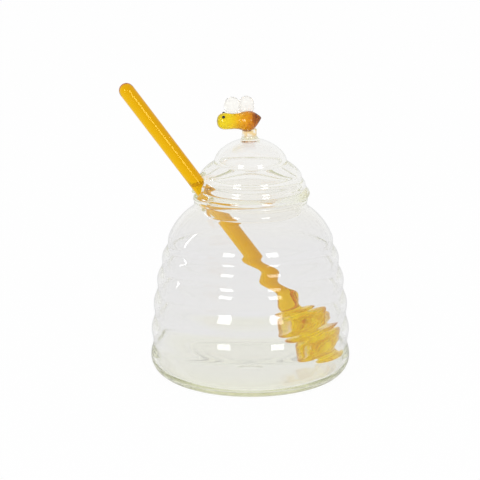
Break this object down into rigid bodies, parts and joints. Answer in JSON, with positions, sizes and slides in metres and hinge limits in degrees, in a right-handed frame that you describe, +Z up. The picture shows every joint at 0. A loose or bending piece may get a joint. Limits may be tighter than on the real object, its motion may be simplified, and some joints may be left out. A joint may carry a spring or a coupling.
{
  "type": "honey pot",
  "caption": "Clear glass honey pot shaped like a ribbed beehive, with a bee-knobbed lid and an amber glass dipper that leaves through a notch in the lid.",
  "frame": {"origin": "centre of the pot's base, on the table", "axes": "+Z up along the pot's axis; the bee faces -X and the dipper leans out towards -X; the dipper's plane lies 5 mm towards -Y from the axis"},
  "size_m": [0.114, 0.1, 0.1475],
  "materials": {
    "clear_glass": "gloss",
    "amber_glass": "gloss",
    "bee_glass": "gloss",
    "white_glass": "gloss",
    "black_glass": "gloss"
  },
  "bodies": {
    "root": {"pot": "clear_glass", "lid": "clear_glass", "dipper": "amber_glass", "bee_body": "bee_glass", "wing_left": "white_glass", "wing_right": "white_glass", "eye_left": "black_glass", "eye_right": "black_glass"}
  },
  "joints": []
}
